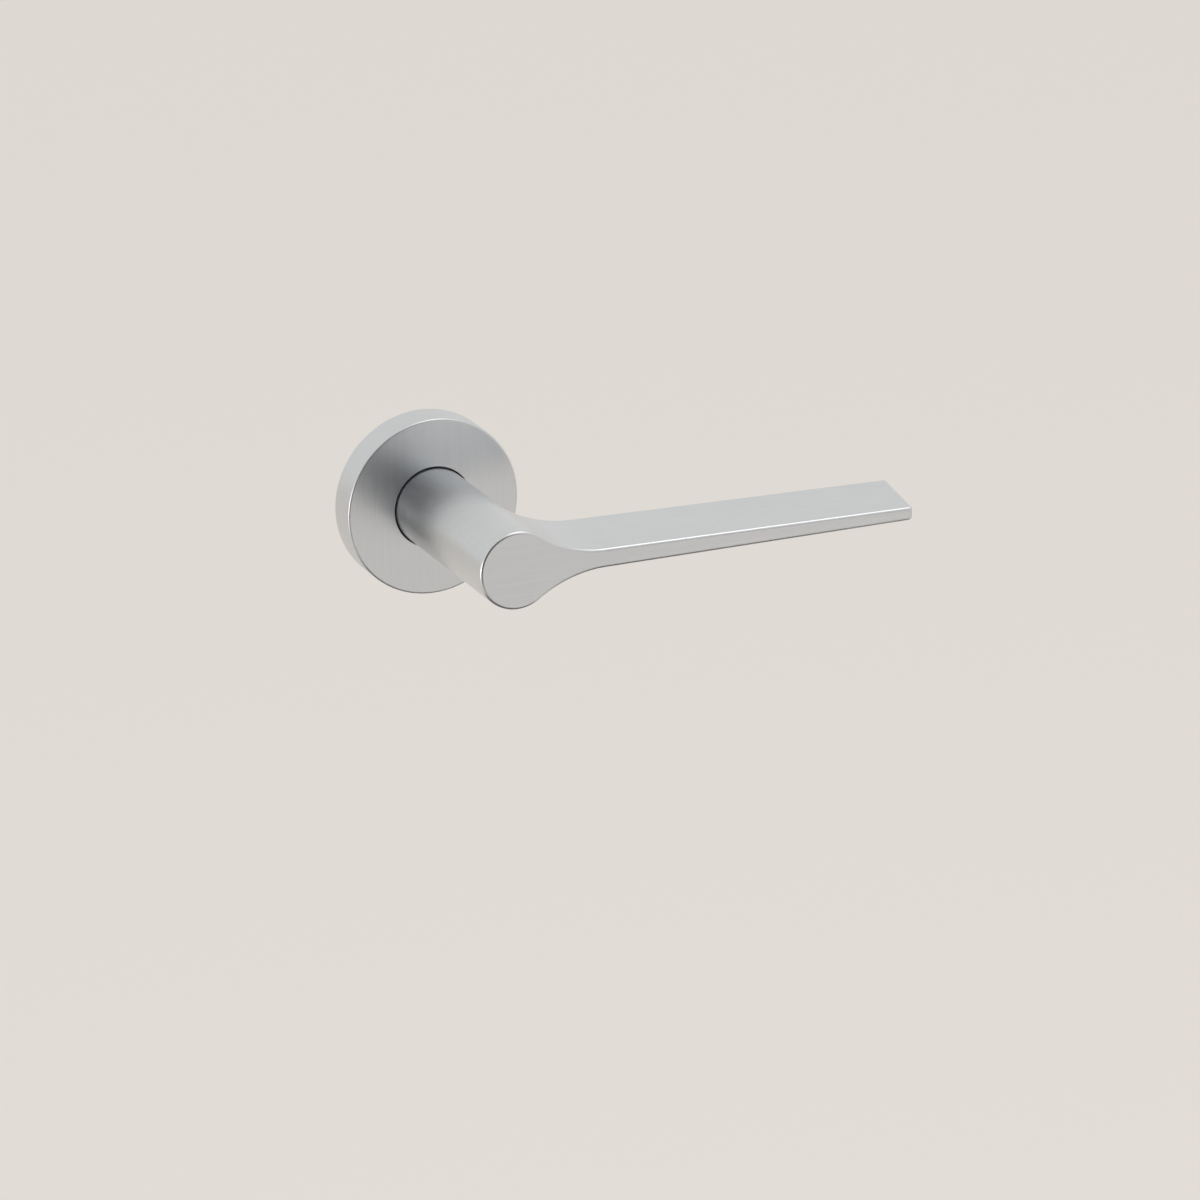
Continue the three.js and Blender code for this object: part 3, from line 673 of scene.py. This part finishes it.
def make_return_spring():
    coil, wire, back, front = 12.9 * MM, 0.59 * MM, -2 * MM, -5.25 * MM
    tab_reach, whole_turns, lead, rows = 6.7, 2, 10, 48
    start, end = LEG_ANGLE, TAB_ANGLE - tab_reach - whole_turns * 360
    # Each leg bends into the coil: radii in mm and how many degrees along.
    bend = ((16.6, 0), (16.4, 0), (15, 0), (13.8, 0.6), (13.1, 4))

    def at(radius, degrees, y):
        x, z = polar(radius, degrees)
        return Vector((x, y, z))

    points = [at(radius * MM, start - turn, back) for radius, turn in bend]
    for i in range(rows + 1):
        degrees = start - lead + (end + lead - start + lead) * i / rows
        points.append(at(coil, degrees, back + (front - back) * i / rows))
    points += [at(radius * MM, end + turn, front) for radius, turn in reversed(bend)]
    mesh = wire_mesh("torsion_spring", curve_through(points, 4), wire)
    finish_mesh("torsion_spring", mesh, "rose", [spring_steel], "return_spring", sharp=60)


def make_snap_ring():
    outline = sector(22.4 * MM, 23.45 * MM, -82, 262)
    mesh = prism_mesh("snap_ring", outline, -2.1 * MM, -1.3 * MM, 0.12 * MM)
    finish_mesh("snap_ring", mesh, "rose", [spring_steel], "cover_snap_ring")


def make_buffers():
    for name, angle in (("rest_stop", TAB_ANGLE + STOP_GAP),
                        ("travel_stop", TAB_ANGLE - TAB_TRAVEL - STOP_GAP - BUFFER_SPAN)):
        outline = sector(POCKET_RADIUS + 0.2 * MM, WINDOW_RADIUS - 0.2 * MM, angle, angle + BUFFER_SPAN)
        mesh = prism_mesh(f"{name}_pad", outline, STOP_STEP + 0.1 * MM, BASE_FLOOR - 0.1 * MM, 0.25 * MM)
        finish_mesh(f"{name}_pad", mesh, "rose", [black_rubber], f"{name}_buffer")


def thread(y, angle, pitch):
    """Height from 0 to 1 of a right-hand V thread."""
    steepness = 3.4
    phase = (y / pitch + angle / (2 * math.pi)) % 1
    return max(0.0, 1 - abs(phase - 0.5) * steepness)


def make_inserts():
    bore, knurls, knurl_depth = 1.65 * MM, 30, 0.14 * MM
    pitch, thread_depth, rows = 0.7 * MM, 0.22 * MM, 90
    middle = (INSERT_FRONT + INSERT_BACK) / 2
    gap, chamfer, mouth, near = 0.6 * MM, 0.2 * MM, 0.35 * MM, 0.01 * MM

    def shape(point, angle):
        if point.x > INSERT_RADIUS - near:
            return point.x - knurl_depth * abs(math.sin(knurls * angle / 2))
        if point.x < bore + near and point.y > INSERT_FRONT + chamfer:
            return point.x + thread_depth * thread(point.y, angle, pitch)
        return point.x

    waist = INSERT_RADIUS - 0.35 * MM
    corners = [(INSERT_RADIUS - chamfer, INSERT_FRONT, 0), (INSERT_RADIUS, INSERT_FRONT + chamfer, 0),
               (INSERT_RADIUS, middle - gap, 0), (waist, middle - gap, 0), (waist, middle + gap, 0),
               (INSERT_RADIUS, middle + gap, 0), (INSERT_RADIUS, INSERT_BACK - chamfer, 0),
               (INSERT_RADIUS - chamfer, INSERT_BACK, 0), (bore + mouth, INSERT_BACK, 0)]
    depth = INSERT_BACK - mouth - INSERT_FRONT
    corners += [(bore, INSERT_FRONT + depth * (1 - k / rows), 0) for k in range(rows + 1)]
    for side, angle in POSTS.items():
        name = f"insert_{side}"
        mesh = lathe_mesh(name, corners, 120, polar(SCREW_CIRCLE, angle), shape)
        finish_mesh(name, mesh, "rose", [brass], f"threaded_insert_{side}")


def make_wood_screws():
    head, crest, core, pitch = 3.6 * MM, 1.7 * MM, 1.15 * MM, 1.5 * MM
    top, thread_start, taper, tip = -4.4 * MM, 1.5 * MM, 10 * MM, 16 * MM
    shank = crest - 0.15 * MM
    rows_per_pitch, blunt = 12, 0.04

    def shape(point, angle):
        if point.y < thread_start:
            return point.x
        lead_in = min(1.0, (point.y - thread_start) / pitch)
        narrow = min(1.0, (tip - point.y) / (tip - taper) + blunt) if point.y > taper else 1.0
        return narrow * (core + lead_in * (crest - core) * thread(point.y, angle, pitch))

    corners = [(0, top, 0), (head, top, 0.25 * MM), (head, -4.0 * MM, 0.1 * MM),
               (shank, -2.2 * MM, 0.4 * MM), (shank, thread_start - 0.5 * MM, 0.1 * MM)]
    count = round((tip - thread_start) / pitch * rows_per_pitch)
    corners += [(core, thread_start + (tip - thread_start) * k / count, 0) for k in range(count)]
    corners.append((0, tip, 0))
    blade, wing, depth = 0.45 * MM, 1.7 * MM, 1.4 * MM
    for side, angle in WOOD_SCREWS.items():
        name = f"screw_{side}"
        x, z = polar(SCREW_CIRCLE, angle)
        mesh = lathe_mesh(name, corners, 64, (x, z), shape)
        wings = [(wing, -blade), (wing, blade), (blade, blade), (blade, wing), (-blade, wing),
                 (-blade, blade), (-wing, blade), (-wing, -blade), (-blade, -blade), (-blade, -wing),
                 (blade, -wing), (blade, -blade)]
        cross = rings_mesh("cross", [[(x + u * wide, y, z + v * wide) for u, v in wings]
                                     for y, wide in ((top - 0.2 * MM, 1.04), (top + depth, 0.55))])
        mesh = combined(mesh, [cross])
        finish_mesh(name, mesh, "rose", [zinc], f"wood_screw_{side}", sharp=40)


# ---- What turns with the lever ----

def make_drive_plate():
    front, back = -7.2 * MM, -6.2 * MM
    flat, hole = 6.1 * MM, JOURNAL_RADIUS + 0.1 * MM
    rim = 13.6 * MM
    disc = lathe_mesh("plate", [(0, front, 0), (rim, front, 0.15 * MM), (rim, back, 0.1 * MM),
                                (0, back, 0)], 128)
    arm = prism_mesh("arm", radial_bar(12 * MM, 16.8 * MM, 3.2 * MM, TAB_ANGLE), front, back)
    tab = prism_mesh("tab", radial_bar(14.9 * MM, 16.75 * MM, 2 * MM, TAB_ANGLE), back - 0.5 * MM, -2.4 * MM,
                     0.2 * MM)
    keyed = [(x, max(-flat, min(flat, z))) for x, z in arc(hole, 0, 360, 96)[:-1]]
    mesh = combined(combined(disc, [arm, tab], "UNION"), [prism_mesh("key", keyed, front - MM, back + MM)])
    finish_mesh("keyed_plate", mesh, "handle", [phosphate], "drive_plate")


def make_washers():
    inner, flat_outer, wavy_outer = JOURNAL_RADIUS + 0.15 * MM, 9.6 * MM, 9.2 * MM
    low, high = RECESS_FLOOR + 0.1 * MM, RECESS_FLOOR + 0.5 * MM
    flat = lathe_mesh("flat_washer", [(inner, low, 0.05 * MM), (flat_outer, low, 0.05 * MM),
                                      (flat_outer, high, 0.08 * MM), (inner, high, 0.08 * MM)], 128)
    finish_mesh("flat_washer", flat, "handle", [zinc], "thrust_washer")
    middle, half, rise, waves = RECESS_FLOOR + 0.85 * MM, 0.1 * MM, 0.1 * MM, 3
    low, high, edge = middle - half, middle + half, 0.04 * MM
    wavy = lathe_mesh("wavy_washer", [(inner, low, edge), (wavy_outer, low, edge),
                                      (wavy_outer, high, edge), (inner, high, edge)], 128)
    for vertex in wavy.vertices:
        vertex.co.y += rise * math.sin(waves * math.atan2(vertex.co.z, vertex.co.x))
    finish_mesh("wavy_washer", wavy, "handle", [spring_steel], "wave_washer")


def make_circlip():
    inner, outer, lug = 7.25 * MM, 9 * MM, 9.7 * MM
    gap, span = 11, 19
    start, end = -90 + gap, 270 - gap
    outline = (arc(lug, start, start + span - 2, 8) + arc(outer, start + span, end - span, 100)
               + arc(lug, end - span + 2, end, 8) + arc(inner, end, start, 110))
    holes = [rod_mesh(0.6 * MM, -2 * MM, 0, polar((inner + lug) / 2, -90 + side * (gap + span / 2 - 1)), 32)
             for side in (-1, 1)]
    mesh = combined(prism_mesh("clip", outline, -1.7 * MM, -0.7 * MM, 0.1 * MM), holes)
    finish_mesh("retaining_clip", mesh, "handle", [phosphate], "circlip")


def make_spindle():
    half, corner, chamfer = SPINDLE_HALF, 0.35 * MM, 1.4 * MM
    reach = half * math.sqrt(2)
    inset = half - corner
    corner_steps, side_steps, chamfer_steps = 6, 12, 6
    square = []
    for quarter, (x, z) in enumerate(((inset, inset), (-inset, inset), (-inset, -inset), (inset, -inset))):
        square += arc(corner, 90 * quarter, 90 * quarter + 90, corner_steps, (x, z))
        (end_x, end_z), (run_x, run_z) = square[-1], polar(2 * inset, 90 * quarter + 180)
        square += [(end_x + run_x * k / side_steps, end_z + run_z * k / side_steps)
                   for k in range(1, side_steps)]
    low, high = SPINDLE_LOW.y, SPINDLE_HIGH.y
    steps = [(chamfer * k / chamfer_steps, reach - chamfer + chamfer * k / chamfer_steps)
             for k in range(chamfer_steps + 1)]
    levels = [(low + run, limit) for run, limit in steps]
    levels += [(high - run, limit) for run, limit in reversed(steps)]

    def held(x, z, limit):
        share = min(1.0, limit / math.hypot(x, z))
        return x * share, z * share

    rings = [[(p[0], y, p[1]) for p in (held(x, z, limit) for x, z in square)] for y, limit in levels]
    slot_half, slot_floor = 1.6 * MM, 2.6 * MM
    slot_top, slot_start, slot_end = half + MM, 9 * MM, 28 * MM
    slot = [(-slot_half, slot_floor), (slot_half, slot_floor), (slot_half, slot_top), (-slot_half, slot_top)]
    mesh = combined(rings_mesh("square_bar", rings), [prism_mesh("slot", slot, slot_start, slot_end)])
    finish_mesh("square_bar", mesh, "handle", [zinc], "spindle", sharp=20)


def make_grub_screw():
    radius, outer, inner = GRUB_RADIUS, GRUB_LOW.z, GRUB_HIGH.z
    chamfer, key_half, key_depth = 0.3 * MM, 1.5 * MM, 2.6 * MM

    def level(r, z, sides=72):
        turns = [2 * math.pi * k / sides for k in range(sides)]
        return [(r * math.cos(turn), GRUB_Y + r * math.sin(turn), z) for turn in turns]

    levels = [(radius - chamfer, outer), (radius, outer + chamfer), (radius, inner - 4 * chamfer),
              (radius - 3 * chamfer, inner)]
    hexagon = key_half / math.cos(math.pi / 6)
    socket = rings_mesh("socket", [level(hexagon, outer - MM, 6), level(hexagon, outer + key_depth, 6)])
    mesh = combined(rings_mesh("set_screw", [level(r, z) for r, z in levels]), [socket])
    finish_mesh("set_screw", mesh, "handle", [phosphate], "grub_screw")


for make in (make_lever, make_rose_cover, make_neck_ring, make_base, make_bush, make_return_spring,
             make_snap_ring, make_buffers, make_inserts, make_wood_screws, make_drive_plate, make_washers,
             make_circlip, make_spindle, make_grub_screw):
    make()

# The leaf in the spindle's slot keeps its CAD shape, with its edges softened.
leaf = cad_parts["spindle_spring"]
leaf.data.materials.clear()
leaf.data.materials.append(spring_steel)
soften = leaf.modifiers.new("soft_edges", "BEVEL")
soften.width = 0.08 * MM
soften.segments = 2
soften.limit_method = "ANGLE"


# ---- Floor, light and camera ----

ROOM_COLOUR = (0.815, 0.808, 0.795)
PATCH_COLOUR = (0.002, 0.003, 0.005)
PATCH_AZIMUTH = -13  # degrees from -Y towards +X
PATCH_HALF_WIDTH = 0.66
PATCH_HALF_HEIGHT = 0.8
PATCH_CORE = 0.62  # the share of the patch that is fully dark
FLOOR_COLOUR = (0.94, 0.898, 0.852)
FRONT_CARD_COLOUR = (0.015, 0.017, 0.02)
LOW_CARD_COLOUR = (0.16, 0.16, 0.165)

CAMERA_AZIMUTH, CAMERA_ELEVATION, CAMERA_DISTANCE = math.radians(-23.99), math.radians(19.46), 2.0
CAMERA_AIM = Vector((0.0411, -0.0286, -0.0267))
SENSOR_WIDTH, LENS = 36.0, 219.56


def make_sheet(name, material_name, width, height, colour):
    """A flat matt sheet for the stage, with no gloss of its own."""
    bm = bmesh.new()
    bmesh.ops.create_grid(bm, x_segments=1, y_segments=1, size=0.5)
    bmesh.ops.scale(bm, vec=(width, height, 1), verts=bm.verts)
    mesh = bpy.data.meshes.new(name)
    bm.to_mesh(mesh)
    bm.free()
    material = bpy.data.materials.new(material_name)
    material.use_nodes = True
    shader = material.node_tree.nodes["Principled BSDF"]
    shader.inputs["Base Color"].default_value = (*colour, 1)
    shader.inputs["Roughness"].default_value = 1.0
    shader.inputs["Specular IOR Level"].default_value = 0.0
    mesh.materials.append(material)
    sheet = bpy.data.objects.new(name, mesh)
    bpy.context.scene.collection.objects.link(sheet)
    return sheet


def make_floor():
    side, drop = 40.0, 0.6
    floor = make_sheet("floor", "pale_floor", side, side, FLOOR_COLOUR)
    floor.location.z = -drop


def make_world():
    """Soft white all round, with a wide dark patch on the side the user stands on."""
    world = bpy.data.worlds.new("studio")
    bpy.context.scene.world = world
    world.use_nodes = True
    tree = world.node_tree
    direction = tree.nodes.new("ShaderNodeTexCoord").outputs["Generated"]

    def node(kind, operation, *inputs):
        made = tree.nodes.new(kind)
        made.operation = operation
        for socket, value in zip(made.inputs, inputs):
            if isinstance(value, bpy.types.NodeSocket):
                tree.links.new(value, socket)
            else:
                socket.default_value = value
        return made.outputs["Value"]

    # The patch is an ellipse round a direction. A ray's reach is how far it lies beside and above that
    # direction, over the ellipse's half sizes, and 1 or more is outside.
    turn = math.radians(PATCH_AZIMUTH)
    forward = Vector((math.sin(turn), -math.cos(turn), 0))
    sideways = Vector((math.cos(turn), math.sin(turn), 0))
    across = node("ShaderNodeVectorMath", "DOT_PRODUCT", direction, sideways / PATCH_HALF_WIDTH)
    upwards = Vector((0, 0, 1))
    above = node("ShaderNodeVectorMath", "DOT_PRODUCT", direction, upwards / PATCH_HALF_HEIGHT)
    ahead = node("ShaderNodeVectorMath", "DOT_PRODUCT", direction, forward)
    squared = node("ShaderNodeMath", "ADD", node("ShaderNodeMath", "MULTIPLY", across, across),
                   node("ShaderNodeMath", "MULTIPLY", above, above))
    behind = node("ShaderNodeMath", "LESS_THAN", ahead, 0.0)
    reach = node("ShaderNodeMath", "ADD", node("ShaderNodeMath", "SQRT", squared), behind)
    ramp = tree.nodes.new("ShaderNodeValToRGB")
    ramp.color_ramp.interpolation = "EASE"
    ramp.color_ramp.elements[0].position = PATCH_CORE
    ramp.color_ramp.elements[0].color = (*PATCH_COLOUR, 1)
    ramp.color_ramp.elements[1].position = 1.0
    ramp.color_ramp.elements[1].color = (*ROOM_COLOUR, 1)
    tree.links.new(reach, ramp.inputs["Fac"])
    # Seen directly, the room is plain: the patch is there for reflections and soft light only.
    plain = tree.nodes.new("ShaderNodeMixRGB")
    plain.inputs["Color2"].default_value = (*ROOM_COLOUR, 1)
    tree.links.new(tree.nodes.new("ShaderNodeLightPath").outputs["Is Camera Ray"], plain.inputs["Fac"])
    tree.links.new(ramp.outputs["Color"], plain.inputs["Color1"])
    tree.links.new(plain.outputs["Color"], tree.nodes["Background"].inputs["Color"])


def make_card(name, place, width, height, colour, face_up=False):
    """A dark card that only gloss sees: it darkens reflections and leaves the floor and the view alone."""
    card = make_sheet(name, name, width, height, colour)
    card.location = place
    if not face_up:
        card.rotation_euler = (math.pi / 2, 0, math.atan2(-place[0], place[1]))
    card.visible_camera = False
    card.visible_diffuse = False
    card.visible_shadow = False


def make_light(name, place, aim, size, power, gloss_only=False):
    """A round area light. A gloss_only light is seen in reflections and adds nothing to matt surfaces."""
    data = bpy.data.lights.new(name, "AREA")
    data.shape = "DISK"
    data.size = size
    data.energy = power
    light = bpy.data.objects.new(name, data)
    light.location = place
    light.rotation_euler = (Vector(aim) - Vector(place)).to_track_quat("-Z", "Y").to_euler()
    light.visible_diffuse = not gloss_only
    bpy.context.scene.collection.objects.link(light)


def make_camera():
    level = math.cos(CAMERA_ELEVATION)
    back = Vector((math.sin(CAMERA_AZIMUTH) * level, -math.cos(CAMERA_AZIMUTH) * level,
                   math.sin(CAMERA_ELEVATION)))
    data = bpy.data.cameras.new("camera")
    data.sensor_width = SENSOR_WIDTH
    data.lens = LENS
    camera = bpy.data.objects.new("camera", data)
    camera.location = CAMERA_AIM + back * CAMERA_DISTANCE
    camera.rotation_euler = (-back).to_track_quat("-Z", "Y").to_euler()
    bpy.context.scene.collection.objects.link(camera)
    bpy.context.scene.camera = camera


make_floor()
make_world()
make_card("front_card", (-0.39, -1.0, -0.26), 0.82, 0.68, FRONT_CARD_COLOUR)
make_card("low_card", (0.05, -0.13, -0.5), 0.7, 0.75, LOW_CARD_COLOUR, face_up=True)
make_light("overhead", (0.5, -0.5, 1.3), (0.05, -0.03, 0), 0.9, 2.6)
make_light("left", (-1.3, -0.55, -0.2), (0.0, -0.03, 0), 0.7, 3.4, gloss_only=True)
make_camera()
bpy.context.scene.view_settings.view_transform = "Standard"
